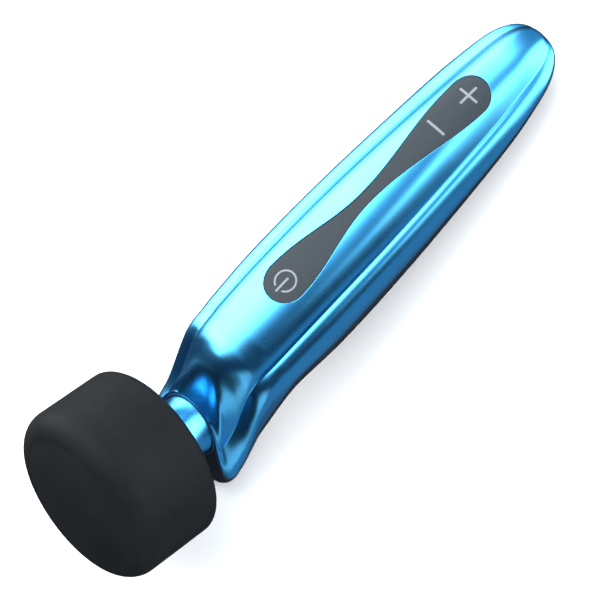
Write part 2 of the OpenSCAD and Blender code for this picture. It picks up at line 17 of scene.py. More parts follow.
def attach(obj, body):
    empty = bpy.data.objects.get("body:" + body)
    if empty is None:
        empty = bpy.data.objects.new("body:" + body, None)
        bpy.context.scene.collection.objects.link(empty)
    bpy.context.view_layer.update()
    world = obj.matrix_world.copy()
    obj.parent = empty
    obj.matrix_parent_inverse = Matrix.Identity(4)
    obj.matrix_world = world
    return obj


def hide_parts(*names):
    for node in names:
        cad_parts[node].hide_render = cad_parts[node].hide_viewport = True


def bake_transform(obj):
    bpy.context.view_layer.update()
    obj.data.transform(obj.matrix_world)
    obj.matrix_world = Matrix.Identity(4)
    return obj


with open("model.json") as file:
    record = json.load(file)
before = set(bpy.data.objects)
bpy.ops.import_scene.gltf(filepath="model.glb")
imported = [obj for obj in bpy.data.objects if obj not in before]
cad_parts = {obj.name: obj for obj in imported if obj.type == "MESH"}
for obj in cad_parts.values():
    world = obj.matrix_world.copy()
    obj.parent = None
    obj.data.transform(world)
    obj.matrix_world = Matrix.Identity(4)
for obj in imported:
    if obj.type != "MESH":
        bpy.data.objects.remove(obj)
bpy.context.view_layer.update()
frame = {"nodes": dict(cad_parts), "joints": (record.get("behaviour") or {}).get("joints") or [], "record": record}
record = frame["record"]
joints = {j["name"]: j for j in frame["joints"]}

# ---------------------------------------------------------------- handle frame
NECK_TILT, HEAD_X, HEAD_DROP, NECK_LEN, MOUTH_R = 31.0, 66.5, 20.0, 15.0, 12.2
WALL, TAIL_X, LAY_TILT = 2.2, 114.0, 8.5
HEAD_R, HEAD_LEN, CROWN, FRONT_ROUND, REAR_ROUND, COVER_T = 30.0, 32.5, 3.0, 7.0, 3.0, 2.5
AXIS = np.array([math.cos(math.radians(NECK_TILT)), 0, math.sin(math.radians(NECK_TILT))])
ACROSS = np.array([math.sin(math.radians(NECK_TILT)), 0, -math.cos(math.radians(NECK_TILT))])
HEAD_AT = np.array([HEAD_X, 0, -HEAD_DROP])
MOUTH_AT = HEAD_AT - NECK_LEN * AXIS
PIVOT_S = -NECK_LEN - 2
FAN_X = 20.0
FAN_Z = MOUTH_AT[2] + (MOUTH_AT[0] - FAN_X) / math.tan(math.radians(NECK_TILT))
MOUTH_H = FAN_Z - math.hypot(MOUTH_AT[0] - FAN_X, MOUTH_AT[2] - FAN_Z)
ROUND_K = 0.55
SEAM = 0.08

LAY = math.radians(LAY_TILT)
TURN = np.array([[math.cos(LAY), 0, -math.sin(LAY)], [0, 1, 0], [math.sin(LAY), 0, math.cos(LAY)]])
SHIFT = np.array(joints["motor_spin"]["pos_m"]) * 1000 - TURN @ HEAD_AT


def row_frame(points):
    """Handle frame in millimetres to the row frame in metres."""
    return (np.asarray(points, float) @ TURN.T + SHIFT) / 1000


def on_neck(points):
    """Neck frame (x across, y, s along the axis from the head's rear face) to the handle frame."""
    p = np.asarray(points, float)
    return HEAD_AT + p[:, :1] * ACROSS + p[:, 1:2] * np.array([0, 1.0, 0]) + p[:, 2:] * AXIS


# One row per station: place, top, crease (half-width, height), slopes above and below the
# crease, widest point (half-width, height), bottom, fullness of the belly.
STATIONS = np.array([
    [-131, -7.8, 8.2, -11.5, 40, 14, 12.0, -14.3, -21.2, 0.64],
    [-118, -6.5, 9.8, -11.2, 44, 4, 14.5, -15.3, -24.7, 0.64],
    [-104, -4.7, 11.3, -10.5, 48, -4, 16.6, -16.2, -28.3, 0.64],
    [-80, -2.3, 12.7, -8.9, 58, -8, 18.2, -17.2, -32.0, 0.66],
    [-50, -0.6, 13.8, -7.5, 66, -10, 19.5, -17.9, -35.2, 0.68],
    [-20, 0.0, 14.0, -7.2, 72, -10, 20.0, -18.0, -36.6, 0.68],
    [0, -0.3, 13.7, -8.2, 74, -8, 19.2, -17.8, -35.4, 0.66],
    [6, -0.8, 13.4, -9.0, 76, -4, 18.9, -20.5, -36.8, 0.66],
    [11, -1.5, 13.2, -9.8, 77, 4, 18.7, -23.8, -40.8, 0.66],
    [15, -2.0, 13.0, -11.4, 78, 14, 18.5, -27.5, -45.6, 0.66],
    [18.5, -3.0, 12.9, -14.8, 80, 26, 18.3, -32.0, -50.0, 0.66],
    [21.5, -4.4, 12.9, -21.5, 82, 36, 18.4, -39.5, -53.6, 0.68],
    [24.5, -6.8, 12.9, -31.0, 84, 44, 18.6, -47.5, -57.2, 0.70],
    [27.5, -10.6, 12.7, -37.5, 86, 50, 18.5, -51.4, -59.8, 0.72],
    [29.5, -17.0, 12.4, -38.0, 88, 60, 16.3, -49.2, -58.7, 0.70],
    [NECK_TILT, MOUTH_H + MOUTH_R, 0.866 * MOUTH_R, MOUTH_H + MOUTH_R / 2, 60, 60,
     MOUTH_R, MOUTH_H, MOUTH_H - MOUTH_R, ROUND_K],
])
LAST = len(STATIONS) - 1


def row_at(u):
    """The row of the table at a place along the handle, smoothly between its stations."""
    def slope(i):
        a, b = STATIONS[max(0, i - 1)], STATIONS[min(LAST, i + 1)]
        return (b - a) / (b[0] - a[0])

    i = max([n for n in range(LAST) if STATIONS[n][0] <= u] or [0])
    a, b = STATIONS[i], STATIONS[i + 1]
    h = b[0] - a[0]
    t = (u - a[0]) / h
    return ((1 + 2 * t) * (1 - t) ** 2 * a + t * (1 - t) ** 2 * h * slope(i)
            + t * t * (3 - 2 * t) * b - t * t * (1 - t) * h * slope(i + 1))


def place(u, y, h):
    """A point of the handle frame: u is millimetres along it, or past the bend's start degrees."""
    if u <= 0:
        return (FAN_X + u, y, h)
    a = math.radians(u)
    return (FAN_X + (FAN_Z - h) * math.sin(a), y, FAN_Z - (FAN_Z - h) * math.cos(a))


def bezier(p, t):
    """Points of a cubic curve with the four control points p."""
    t = np.atleast_1d(t)[:, None]
    p = np.asarray(p, float)
    return (1 - t) ** 3 * p[0] + 3 * (1 - t) ** 2 * t * p[1] + 3 * (1 - t) * t * t * p[2] + t ** 3 * p[3]


def dome(r):
    """Curve of a row's outline from its top centre to the crease, as (half-width, height)."""
    d = 0.42 * math.hypot(r[2], r[1] - r[3])
    a = math.radians(r[4])
    return [[0, r[1]], [ROUND_K * r[2], r[1]], [r[2] - d * math.cos(a), r[3] + d * math.sin(a)], [r[2], r[3]]]


def ridge(r):
    """Curve from the crease to the widest point."""
    d = 0.42 * math.hypot(r[6] - r[2], r[3] - r[7])
    a = math.radians(r[5])
    return [[r[2], r[3]], [r[2] + d * math.cos(a), r[3] - d * math.sin(a)],
            [r[6], r[7] + ROUND_K * (r[3] - r[7])], [r[6], r[7]]]


def belly(r):
    """Curve from the widest point to the bottom centre."""
    return [[r[6], r[7]], [r[6], r[7] - r[9] * (r[7] - r[8])], [r[9] * r[6], r[8]], [0, r[8]]]


# The tail's rounded cap: its length, the power of its curve, and the angle of its first ring.
CAP_LEN, CAP_POWER, CAP_START = 16.5, 2.8, 88.5


def handle_rows(tail, caps=22, straight=150, fan=84):
    """Places along the handle and the scale of the outline there, from the tail to the mouth."""
    end = -FAN_X - tail
    start = end + CAP_LEN
    out = []
    for a in np.radians(np.linspace(CAP_START, 0, caps + 1)[:-1]):
        place_u = end + CAP_LEN * (1 - math.sin(a) ** (2 / CAP_POWER))
        out.append((place_u, math.cos(a) ** (2 / CAP_POWER)))
    out += [(start * (1 - i / straight), 1.0) for i in range(straight + 1)]
    out += [(NECK_TILT * i / fan, 1.0) for i in range(1, fan + 1)]
    return out


CREASE_ROUND, RIM_ROUND = 0.45, 0.3
DOME_POINTS, RIDGE_POINTS, BELLY_POINTS, FINE_POINTS = 30, 24, 34, 80


def upper_half(r):
    """Half outline of the upper shell from its top centre to the rim, with a small round in the crease."""
    d, g = np.array(dome(r)), np.array(ridge(r))
    cut_d = 1 - CREASE_ROUND / max(1.0, 3 * np.linalg.norm(d[3] - d[2]))
    cut_g = CREASE_ROUND / max(1.0, 3 * np.linalg.norm(g[1] - g[0]))
    a = bezier(d, np.linspace(0, cut_d, DOME_POINTS))
    b = bezier(g, np.linspace(cut_g, 1, RIDGE_POINTS))
    t = np.linspace(0, 1, 6)[1:-1, None]
    fillet = (1 - t) ** 2 * a[-1] + 2 * t * (1 - t) * d[3] + t * t * b[0]
    end = np.interp(r[7] + RIM_ROUND, b[::-1, 1], np.linspace(1, cut_g, RIDGE_POINTS))
    b = bezier(g, np.linspace(cut_g, end, RIDGE_POINTS))
    q = np.linspace(0, math.pi / 2, 5)[1:]
    rim = np.c_[b[-1, 0] - RIM_ROUND * (1 - np.cos(q)), r[7] + (b[-1, 1] - r[7]) * (1 - np.sin(q))]
    return np.vstack([a, fillet, b, rim])


def lower_half(r):
    """Half outline of the lower shell from its rim to the bottom centre."""
    g = belly(r)
    fine = bezier(g, np.linspace(0, 1, FINE_POINTS))
    start = np.interp(-(r[7] - RIM_ROUND), -fine[:, 1], np.linspace(0, 1, FINE_POINTS))
    b = bezier(g, np.linspace(start, 1, BELLY_POINTS))
    q = np.linspace(math.pi / 2, 0, 5)[:-1]
    rim = np.c_[b[0, 0] - RIM_ROUND * (1 - np.cos(q)), r[7] + (b[0, 1] - r[7]) * (1 - np.sin(q))]
    return np.vstack([rim, b])


def offset_in(p, t):
    """Moves an outline inwards by t; its ends move level."""
    d = np.gradient(p, axis=0)
    d /= np.linalg.norm(d, axis=1)[:, None]
    return p + t * np.c_[d[:, 1], -d[:, 0]]


# Points at each side of an inner skin that run straight to the rim's height.
RIM_STEPS = 5


def skins(tail, upper, wall):
    """Grid of points of one skin of a shell, tail to mouth, one side's rim to the other's."""
    grid = []
    for u, s in handle_rows(tail):
        r = row_at(u)
        if upper:
            h = upper_half(r)
            o = np.vstack([np.c_[-h[:0:-1, 0], h[:0:-1, 1]], h])
        else:
            h = lower_half(r)
            o = np.vstack([np.c_[-h[:, 0], h[:, 1]], h[-2::-1]])
        if wall:
            o = offset_in(o, wall if upper else -wall)
            for k, step in ((0, 1), (len(o) - 1, -1)):
                x, z = o[k + step * RIM_STEPS]
                for i in range(RIM_STEPS):
                    o[k + step * i] = (x, r[7] + (z - r[7]) * i / RIM_STEPS)
        drop = 0 if upper else SEAM
        grid.append([place(u, y * s, r[7] + (z - r[7]) * s - drop) for y, z in o])
    return np.array(grid)


def outer_skin(upper):
    """The outer skin of a shell as a grid of points in the row frame."""
    return row_frame(skins(TAIL_X, upper, 0))


# ---------------------------------------------------------------- mesh helpers
def new_object(name, verts, faces):
    me = bpy.data.meshes.new(name)
    me.from_pydata([tuple(v) for v in verts], [], [tuple(int(i) for i in f) for f in faces])
    me.validate()
    ob = bpy.data.objects.new(name, me)
    bpy.context.scene.collection.objects.link(ob)
    return ob


def tidy(ob, angle=40, merge=1e-8):
    """Merges double points, turns every face outwards and smooths below an edge angle."""
    bm = bmesh.new()
    bm.from_mesh(ob.data)
    bmesh.ops.remove_doubles(bm, verts=bm.verts, dist=merge)
    bmesh.ops.delete(bm, geom=[e for e in bm.edges if not e.link_faces], context="EDGES")
    bmesh.ops.recalc_face_normals(bm, faces=bm.faces)
    if bm.calc_volume() < 0:
        bmesh.ops.reverse_faces(bm, faces=bm.faces)
    bm.to_mesh(ob.data)
    bm.free()
    ob.data.polygons.foreach_set("use_smooth", [True] * len(ob.data.polygons))
    ob.data.set_sharp_from_angle(angle=math.radians(angle))
    return ob


def grid_faces(n, m, base=0, wrap=False, flip=False):
    out = []
    for i in range(n - 1):
        for j in range(m if wrap else m - 1):
            a, b = base + i * m + j, base + i * m + (j + 1) % m
            f = (a, b, b + m, a + m)
            out.append(f[::-1] if flip else f)
    return out


def shell_mesh(name, upper):
    """A closed shell: outer and inner skin, joined along the rims, at the mouth and at the tail."""
    outer, inner = skins(TAIL_X, upper, 0), skins(TAIL_X - WALL, upper, WALL)
    n, m = outer.shape[:2]
    verts = np.vstack([outer.reshape(-1, 3), inner.reshape(-1, 3),
                       [place(u, 0, row_at(u)[7] - (0 if upper else SEAM))
                        for u in (-FAN_X - TAIL_X, -FAN_X - TAIL_X + WALL)]])
    k = n * m
    faces = grid_faces(n, m) + grid_faces(n, m, k, flip=True)
    for i in range(n - 1):
        for j in (0, m - 1):
            a, b = i * m + j, (i + 1) * m + j
            faces.append((a, b, b + k, a + k) if j == 0 else (b, a, a + k, b + k))
    last = (n - 1) * m
    for j in range(m - 1):
        faces.append((last + j, last + j + 1, last + j + 1 + k, last + j + k))
        faces.append((2 * k, j + 1, j))
        faces.append((2 * k + 1, k + j, k + j + 1))
    faces.append((2 * k, 0, k, 2 * k + 1))
    faces.append((2 * k, 2 * k + 1, k + m - 1, m - 1))
    ob = new_object(name, row_frame(verts), faces)
    return tidy(ob)


def rings_mesh(name, rings, caps=True):
    """Closed rings of equal length joined into one skin, with or without flat caps at its ends."""
    n, m = len(rings), len(rings[0])
    faces = grid_faces(n, m, wrap=True)
    if caps:
        faces.append(tuple(range(m))[::-1])
        faces.append(tuple(range((n - 1) * m, n * m)))
    return new_object(name, np.vstack(rings), faces)


def lathe(name, profile, segments=160, angle=35):
    """Turns a closed or axis-to-axis profile of (radius, s) about the neck axis."""
    a = np.linspace(0, 2 * math.pi, segments, endpoint=False)
    rings = [on_neck(np.c_[r * np.cos(a), r * np.sin(a), np.full(segments, s)]) for r, s in profile]
    ob = rings_mesh(name, [row_frame(r) for r in rings], caps=False)
    return tidy(ob, angle)


def cylinders(name, rods, segments=64):
    """Upright rods in the handle frame: (x, y, radius, z0, z1)."""
    verts, faces = [], []
    a = np.linspace(0, 2 * math.pi, segments, endpoint=False)
    for x, y, r, z0, z1 in rods:
        base = len(verts)
        for z in (z0, z1):
            verts += [(x + r * math.cos(t), y + r * math.sin(t), z) for t in a]
        faces += grid_faces(2, segments, base, wrap=True)
        faces.append(tuple(range(base, base + segments))[::-1])
        faces.append(tuple(range(base + segments, base + 2 * segments)))
    return tidy(new_object(name, row_frame(verts), faces))


# How near a corner lies to the uncut surface, and how nearly it faces the same way, to count as part of it.
ON_SKIN, SAME_WAY = 3e-6, 0.80


def true_normals(ob, points):
    """Gives a cut mesh the smooth normals of the uncut surface, a grid of points, where it lies on it."""
    n, m = points.shape[:2]
    du, dv = np.gradient(points, axis=0), np.gradient(points, axis=1)
    normal = np.cross(du, dv).reshape(-1, 3)
    size = np.linalg.norm(normal, axis=1)[:, None]
    normal /= np.where(size > 0, size, 1)
    flat = points.reshape(-1, 3)
    tris = []
    for a, b, c, d in grid_faces(n, m):
        tris += [(a, b, c), (a, c, d)]
    tree = BVHTree.FromPolygons([Vector(v) for v in flat], tris)
    me = ob.data
    own = np.zeros(len(me.loops) * 3, np.float32)
    me.corner_normals.foreach_get("vector", own)
    own = own.reshape(-1, 3)
    at = np.zeros(len(me.loops), np.int32)
    me.loops.foreach_get("vertex_index", at)
    wanted = np.zeros((len(me.vertices), 3))
    for v in me.vertices:
        hit, _, face, _ = tree.find_nearest(v.co, ON_SKIN)
        if hit is None:
            continue
        a, b, c = tris[face]
        w = poly_3d_calc([Vector(flat[a]), Vector(flat[b]), Vector(flat[c])], hit)
        t = w[0] * normal[a] + w[1] * normal[b] + w[2] * normal[c]
        wanted[v.index] = t / (np.linalg.norm(t) or 1)
    want = wanted[at]
    side = np.sum(want * own, axis=1)
    want[side < 0] *= -1
    use = np.abs(side) > SAME_WAY
    own[use] = want[use]
    me.normals_split_custom_set(own.tolist())


def cut(ob, tool, operation="DIFFERENCE"):
    """Cuts a tool out of a piece, or joins it on, and deletes the tool."""
    mod = ob.modifiers.new("cut", "BOOLEAN")
    mod.operation, mod.solver, mod.object = operation, "EXACT", tool
    bpy.context.view_layer.update()
    made = bpy.data.meshes.new_from_object(ob.evaluated_get(bpy.context.evaluated_depsgraph_get()))
    ob.modifiers.clear()
    ob.data = made
    bpy.data.objects.remove(tool)
    return tidy(ob)


# ---------------------------------------------------------------- materials
def material(name):
    m = bpy.data.materials.new(name)
    m.use_nodes = True
    nt = m.node_tree
    return m, nt, nt.nodes["Principled BSDF"]


def node(nt, kind, **values):
    n = nt.nodes.new(kind)
    for k, v in values.items():
        if k in n.inputs:
            n.inputs[k].default_value = v
        else:
            setattr(n, k, v)
    return n


def noise(nt, scale, detail=4.0, rough=0.5):
    tc = nt.nodes.get("place") or nt.nodes.new("ShaderNodeTexCoord")
    tc.name = "place"
    n = node(nt, "ShaderNodeTexNoise", Scale=scale, Detail=detail, Roughness=rough)
    nt.links.new(tc.outputs["Object"], n.inputs["Vector"])
    return n.outputs["Fac"]


def spread(nt, value, low, high, from_low=0.3, from_high=0.7):
    n = node(nt, "ShaderNodeMapRange")
    n.inputs["From Min"].default_value, n.inputs["From Max"].default_value = from_low, from_high
    n.inputs["To Min"].default_value, n.inputs["To Max"].default_value = low, high
    nt.links.new(value, n.inputs["Value"])
    return n.outputs["Result"]


def mix(nt, factor, a, b):
    n = nt.nodes.new("ShaderNodeMix")
    n.data_type = "RGBA"
    n.inputs["A"].default_value, n.inputs["B"].default_value = (*a, 1), (*b, 1)
    nt.links.new(factor, n.inputs["Factor"])
    return n.outputs["Result"]


def bump(nt, height, strength, distance):
    n = node(nt, "ShaderNodeBump", Strength=strength, Distance=distance)
    nt.links.new(height, n.inputs["Height"])
    return n.outputs["Normal"]


def finish(name, dark, light, rough=(0.4, 0.5), metallic=0.0, colour_scale=300.0, grain=None, **sockets):
    """A material with mottled colour and roughness; grain is its bump's (scale, strength, distance)."""
    m, nt, p = material(name)
    f = spread(nt, noise(nt, colour_scale), 0, 1)
    nt.links.new(mix(nt, f, dark, light), p.inputs["Base Color"])
    nt.links.new(spread(nt, noise(nt, colour_scale * 0.7), *rough), p.inputs["Roughness"])
    p.inputs["Metallic"].default_value = metallic
    if grain:
        nt.links.new(bump(nt, noise(nt, grain[0], 2.0), grain[1], grain[2]), p.inputs["Normal"])
    for k, v in sockets.items():
        p.inputs[k.replace("_", " ")].default_value = v
    return m


BLUE = finish("plated_blue", (0.09, 0.50, 0.90), (0.105, 0.53, 0.94),
              (0.26, 0.30), 1.0, 60.0, (5000.0, 0.06, 0.00004))
BLACK = finish("gloss_black", (0.010, 0.011, 0.013), (0.012, 0.013, 0.015),
               (0.25, 0.275), 0.0, 90.0, (4000.0, 0.08, 0.00005))
PANEL = finish("panel_grey", (0.024, 0.031, 0.037), (0.030, 0.038, 0.045),
               (0.55, 0.65), 0.0, 2600.0, (9000.0, 0.25, 0.00006), Specular_IOR_Level=0.2)
PRINT = finish("print_silver", (0.17, 0.185, 0.205), (0.20, 0.215, 0.24),
               (0.35, 0.45), 0.0, 1500.0, (9000.0, 0.15, 0.00005), Specular_IOR_Level=0.2)
SILICONE = finish("silicone", (0.0055, 0.0064, 0.0072), (0.0080, 0.0090, 0.0100),
                  (0.62, 0.72), 0.0, 55.0, (7000.0, 0.3, 0.00008), Specular_IOR_Level=0.12)
RUBBER = finish("black_rubber", (0.010, 0.010, 0.011), (0.016, 0.016, 0.017),
                (0.6, 0.75), 0.0, 400.0, (5000.0, 0.3, 0.0001))
MOULDED = finish("black_plastic", (0.016, 0.016, 0.018), (0.026, 0.026, 0.028),
                 (0.45, 0.55), 0.0, 300.0, (4000.0, 0.3, 0.0001))
WHITE = finish("white_plastic", (0.62, 0.61, 0.57), (0.70, 0.69, 0.65),
               (0.4, 0.5), 0.0, 300.0, (4000.0, 0.2, 0.0001))
WRAP = finish("cell_wrap", (0.03, 0.11, 0.34), (0.05, 0.16, 0.44),
              (0.2, 0.3), 0.0, 200.0, (1500.0, 0.2, 0.0001))
BOARD = finish("solder_mask", (0.012, 0.11, 0.04), (0.02, 0.16, 0.06),
               (0.3, 0.4), 0.0, 900.0, (2500.0, 0.3, 0.0001))
RED = finish("red_wire", (0.35, 0.02, 0.02), (0.45, 0.035, 0.03),
             (0.4, 0.5), 0.0, 500.0, (3000.0, 0.2, 0.0001))
STEEL = finish("steel", (0.45, 0.45, 0.46), (0.58, 0.58, 0.59),
               (0.25, 0.38), 1.0, 700.0, (6000.0, 0.2, 0.00005))
FERRITE = finish("ferrite", (0.05, 0.05, 0.055), (0.09, 0.09, 0.095),
                 (0.5, 0.7), 0.3, 900.0, (3000.0, 0.4, 0.0001))
WEIGHT = finish("sintered_metal", (0.18, 0.18, 0.19), (0.28, 0.28, 0.29),
                (0.4, 0.5), 1.0, 900.0, (3000.0, 0.4, 0.0001))
BRASS = finish("brass", (0.62, 0.42, 0.16), (0.74, 0.54, 0.24),
               (0.25, 0.38), 1.0, 600.0, (5000.0, 0.2, 0.00005))
COPPER = finish("copper", (0.50, 0.20, 0.08), (0.64, 0.30, 0.13),
                (0.25, 0.4), 1.0, 1500.0, (4000.0, 0.4, 0.0001))
SOCKET = finish("socket_navy", (0.015, 0.045, 0.09), (0.022, 0.065, 0.13),
                (0.3, 0.4), 0.0, 200.0, (3000.0, 0.2, 0.0001))

BY_SLOT = {
    "plated_blue": BLUE, "gloss_black": BLACK, "socket_navy": SOCKET, "panel_grey": PANEL,
    "head_silicone": SILICONE, "black_plastic": MOULDED, "black_rubber": RUBBER,
    "plunger_white": WHITE, "cell_wrap": WRAP, "board_green": BOARD, "red_wire": RED,
    "steel": STEEL, "magnet_grey": FERRITE, "weight_steel": WEIGHT, "brass": BRASS,
    "copper": COPPER,
}


def wear(ob, mat, slot, body, *nodes):
    """Gives a piece its material, lets it ride on a body, and stands it in for CAD nodes; the slot argument is not
    used.
    """
    ob.data.materials.clear()
    ob.data.materials.append(mat)
    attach(ob, body)
    if nodes:
        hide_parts(*nodes)
    return ob


# ---------------------------------------------------------------- key panel
PLUS_X, MINUS_X, END_R, WAIST, WAIST_X = 82.0, 67.3, 7.0, 2.0, -36.0
KEYS = {"power": 0.0, "minus": -MINUS_X, "plus": -PLUS_X}
# Depth of the panel's face below the dome, thickness of the panel and of the key caps, and the
# tip of a key's stem.
SUNK, PANEL_T, CAP_T, STEM_TIP, STEM_R = 0.2, 1.05, 0.68, -6.9, 2.0
RECESS_FLOOR, KEY_CAP_R, KEY_HOLE_R = -1.38, 5.04, 5.06
CURVE_STEPS = 200


def panel_half_w(x):
    t = (WAIST_X - x) / (WAIST_X + PLUS_X) if x < WAIST_X else (x - WAIST_X) / -WAIST_X
    return WAIST + (END_R - WAIST) * (1 - math.cos(math.pi * min(1, t))) / 2


def panel_line():
    """The panel's outline and the point of its middle line that each outline point belongs to."""
    side = [(x, panel_half_w(x)) for x in np.linspace(-PLUS_X, 0, 121)]
    out, mid = [], []
    for a in np.radians(np.linspace(180, 90, 25))[:-1]:
        out.append((-PLUS_X + END_R * math.cos(a), END_R * math.sin(a)))
        mid.append((-PLUS_X, 0))
    for x, y in side:
        out.append((x, y))
        mid.append((x, 0))
    for a in np.radians(np.linspace(90, 0, 25))[1:]:
        out.append((END_R * math.cos(a), END_R * math.sin(a)))
        mid.append((0, 0))
    out += [(x, -y) for x, y in out[-2:0:-1]]
    mid += [(x, -y) for x, y in mid[-2:0:-1]]
    return np.array(out), np.array(mid)


def dome_z(x, y):
    """Height of the dome over a point of the handle's top."""
    p = bezier(dome(row_at(x - FAN_X)), np.linspace(0, 1, CURVE_STEPS))
    return float(np.interp(abs(y), p[:, 0], p[:, 1]))


HEIGHT_X = np.linspace(-PLUS_X - 12, 14, 109)
HEIGHT_Y = np.linspace(0, 9.5, 39)
HEIGHT = np.array([[dome_z(x, y) for y in HEIGHT_Y] for x in HEIGHT_X])


def height(p):
    """Dome height at many points, from a fine grid with smooth interpolation along both directions."""
    x = np.clip((p[:, 0] - HEIGHT_X[0]) / (HEIGHT_X[1] - HEIGHT_X[0]), 1, len(HEIGHT_X) - 2.001)
    y = np.clip(np.abs(p[:, 1]) / (HEIGHT_Y[1] - HEIGHT_Y[0]), 0, len(HEIGHT_Y) - 2.001)
    i, j = x.astype(int), y.astype(int)
    f, g = x - i, y - j

    def cubic(a, b, c, d, t):
        return b + 0.5 * t * (c - a + t * (2 * a - 5 * b + 4 * c - d + t * (3 * (b - c) + d - a)))

    def along(k):
        jj = np.abs(j + k)
        return cubic(HEIGHT[i - 1, jj], HEIGHT[i, jj], HEIGHT[i + 1, jj], HEIGHT[i + 2, jj], f)

    return cubic(along(-1), along(0), along(1), along(2), g)


def outward(line):
    """Directions that point out of a closed outline, level."""
    d = np.roll(line, -1, axis=0) - np.roll(line, 1, axis=0)
    d /= np.linalg.norm(d, axis=1)[:, None]
    return np.c_[-d[:, 1], d[:, 0]]


def on_dome(xy, dz):
    """Points of the top view, dz above the dome, in the row frame."""
    return row_frame(np.c_[xy, height(xy) + dz])


edge, middle = panel_line()
edge_out = outward(edge)


def panel_ring(share, dz):
    """The panel's outline shrunk to a share of its way out from the middle line."""
    return on_dome(middle + (edge - middle) * share, dz)


# ---------------------------------------------------------------- shells
# Shell screws: place along the handle, half of their spacing, top of the boss, seat of the head.
SCREWS = [(24, 11.8, -9.7, -25), (-56, 10.5, -9.6, -23.8), (-92, 6.2, -10.9, -20.8)]
BOSS_R, PILOT_R, COLUMN_R, COUNTERBORE_R, SHANK_R = 2.6, 1.15, 3.2, 2.5, 1.25
FOOT_IN = 0.5
BOARD_SCREWS, BOARD_BOSS_R, BOARD_PILOT_R = (22.5, -52), 2.5, 0.95
BOARD_TOP, JOINT_Z, JACK_Z = -9.8, -17.0, -17.2
KEY_BORE_R, JACK_R = 2.2, 1.96
SEAT_R, SEAT_BACK = MOUTH_R - 0.55, PIVOT_S - 13


def screw_places():
    """Each shell screw: x, y, top of the boss, seat of the head."""
    return [(x, y * side, top, seat) for x, y, top, seat in SCREWS for side in (1, -1)]


def seat_tool(segments=160):
    """The bore of the handle's mouth, which opens into a small round lip."""
    a = np.linspace(0, 2 * math.pi, segments, endpoint=False)
    lip = [(-0.35, 0), (-0.16, 0.06), (-0.04, 0.18), (0.02, 0.36), (0.1, 0.7), (8, 0.7)]
    profile = [(SEAT_BACK, SEAT_R)] + [(-NECK_LEN + s, SEAT_R + wider) for s, wider in lip]
    rings = []
    for s, r in profile:
        rings.append(row_frame(on_neck(np.c_[r * np.cos(a), r * np.sin(a), np.full(segments, s)])))
    return tidy(rings_mesh("seat", rings))


def recess_tool():
    """The panel's recess, with a soft edge, as rings from the middle line out, down and back in."""
    inner = (0.0, 0.3, 0.6, 0.85)
    over = 1.2
    rings = [on_dome(middle + (edge + edge_out * over - middle) * k, over) for k in inner]
    for d, h in [(over, over), (0.36, 0.15), (0.27, 0.01), (0.22, -0.015), (0.16, -0.05), (0.11, -0.1),
                 (0.08, -0.16), (0.07, -0.24), (0.07, RECESS_FLOOR)]:
        rings.append(on_dome(edge + edge_out * d, h))
    rings += [panel_ring(k, RECESS_FLOOR) for k in inner[::-1]]
    return tidy(rings_mesh("recess", rings, caps=False))


def build_upper_shell():
    """The blue shell with its screw bosses, the panel's recess, key bores and pilot holes."""
    ob = shell_mesh("upper_shell_skin", True)
    bosses = [(x, y, BOSS_R, JOINT_Z, top) for x, y, top, _ in screw_places()]
    bosses += [(x, 0, BOARD_BOSS_R, BOARD_TOP + 0.05, -2.2) for x in BOARD_SCREWS]
    cut(ob, cylinders("bosses", bosses, 40), "UNION")
    cut(ob, recess_tool())
    holes = [(x, 0, KEY_BORE_R, -12, 5) for x in KEYS.values()]
    holes += [(x, y, PILOT_R, JOINT_Z - 1, top - 2) for x, y, top, _ in screw_places()]
    holes += [(x, 0, BOARD_PILOT_R, BOARD_TOP - 1, -4) for x in BOARD_SCREWS]
    cut(ob, cylinders("holes", holes, 48))
    cut(ob, seat_tool())
    true_normals(ob, outer_skin(True))
    return wear(ob, BLUE, "plated_blue", "handle", "upper_shell")


def belly_z(x, y):
    """Height of the handle's underside over a point."""
    p = bezier(belly(row_at(x - FAN_X)), np.linspace(0, 1, CURVE_STEPS))
    return float(np.interp(abs(y), p[::-1, 0], p[::-1, 1]))


def column(x, y, r, top, segments=48):
    """A screw column whose foot follows the underside, a little inside the wall's outer skin."""
    a = np.linspace(0, 2 * math.pi, segments, endpoint=False)
    rings = []
    for q in (0.0, r / 2, r):
        xy = np.c_[x + q * np.cos(a), y + q * np.sin(a)]
        rings.append(row_frame(np.c_[xy, [belly_z(*p) + FOOT_IN for p in xy]]))
    for q in (r, 0.0):
        rings.append(row_frame(np.c_[x + q * np.cos(a), y + q * np.sin(a), np.full(segments, top)]))
    return tidy(rings_mesh("column", rings, caps=False))


def jack_tool(segments=64):
    """The hole for the charging jack, which widens towards the tail."""
    a = np.linspace(0, 2 * math.pi, segments, endpoint=False)
    mouth = [(-3, 3.4), (-0.2, 2.6), (0.5, 2.2), (1.2, JACK_R)]
    steps = [(-TAIL_X + x, r) for x, r in mouth] + [(-100, JACK_R)]
    rings = []
    for x, r in steps:
        rings.append(row_frame(np.c_[np.full(segments, x), r * np.cos(a), JACK_Z + r * np.sin(a)]))
    return tidy(rings_mesh("jack_hole", rings))


def build_lower_shell():
    """The dark shell with its screw columns, counterbores, screw holes and the jack's hole."""
    ob = shell_mesh("lower_shell_skin", False)
    for x, y, _, _ in screw_places():
        cut(ob, column(x, y, COLUMN_R, JOINT_Z - 0.05), "UNION")
    bores = [(x, y, COUNTERBORE_R, seat - 18, seat) for x, y, _, seat in screw_places()]
    cut(ob, cylinders("counterbores", bores, 48))
    shanks = [(x, y, SHANK_R, seat - 6, JOINT_Z + 1) for x, y, _, seat in screw_places()]
    cut(ob, cylinders("shank_holes", shanks, 32))
    cut(ob, jack_tool())
    cut(ob, seat_tool())
    true_normals(ob, outer_skin(False))
    return wear(ob, BLACK, "gloss_black", "handle", "lower_shell")


